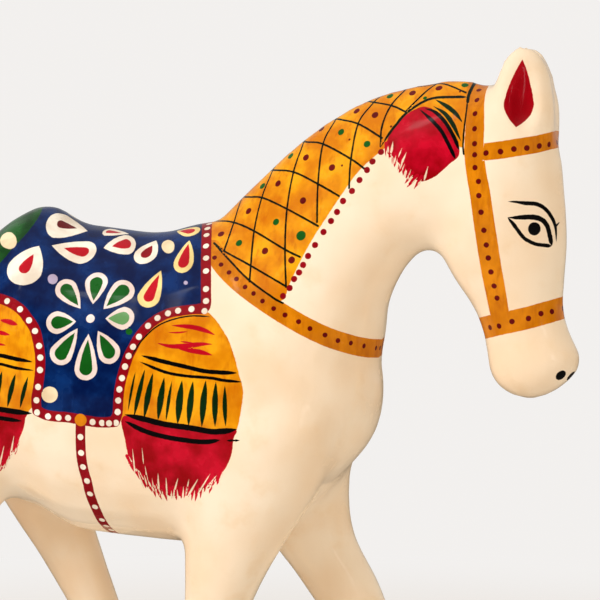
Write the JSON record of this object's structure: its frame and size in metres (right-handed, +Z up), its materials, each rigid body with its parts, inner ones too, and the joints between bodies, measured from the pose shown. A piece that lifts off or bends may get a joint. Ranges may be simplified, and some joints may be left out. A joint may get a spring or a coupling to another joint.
{
  "type": "papier-mache horse figurine",
  "caption": "Lacquered, hand-painted papier-mache horse ornament that stands on its own hooves, mid-stride.",
  "frame": {"origin": "centre of the bounding box's footprint, on the plane of the soles", "axes": "+X towards the way the horse walks, +Z up, +Y towards its left side"},
  "size_m": [0.1916, 0.0546, 0.1845],
  "materials": {
    "painted_skin": "pressed paper pulp, painted cream and patterned by hand in ochre, blue, red, green and black, under gloss lacquer"
  },
  "bodies": {
    "root": {"horse": "painted_skin"}
  },
  "joints": []
}
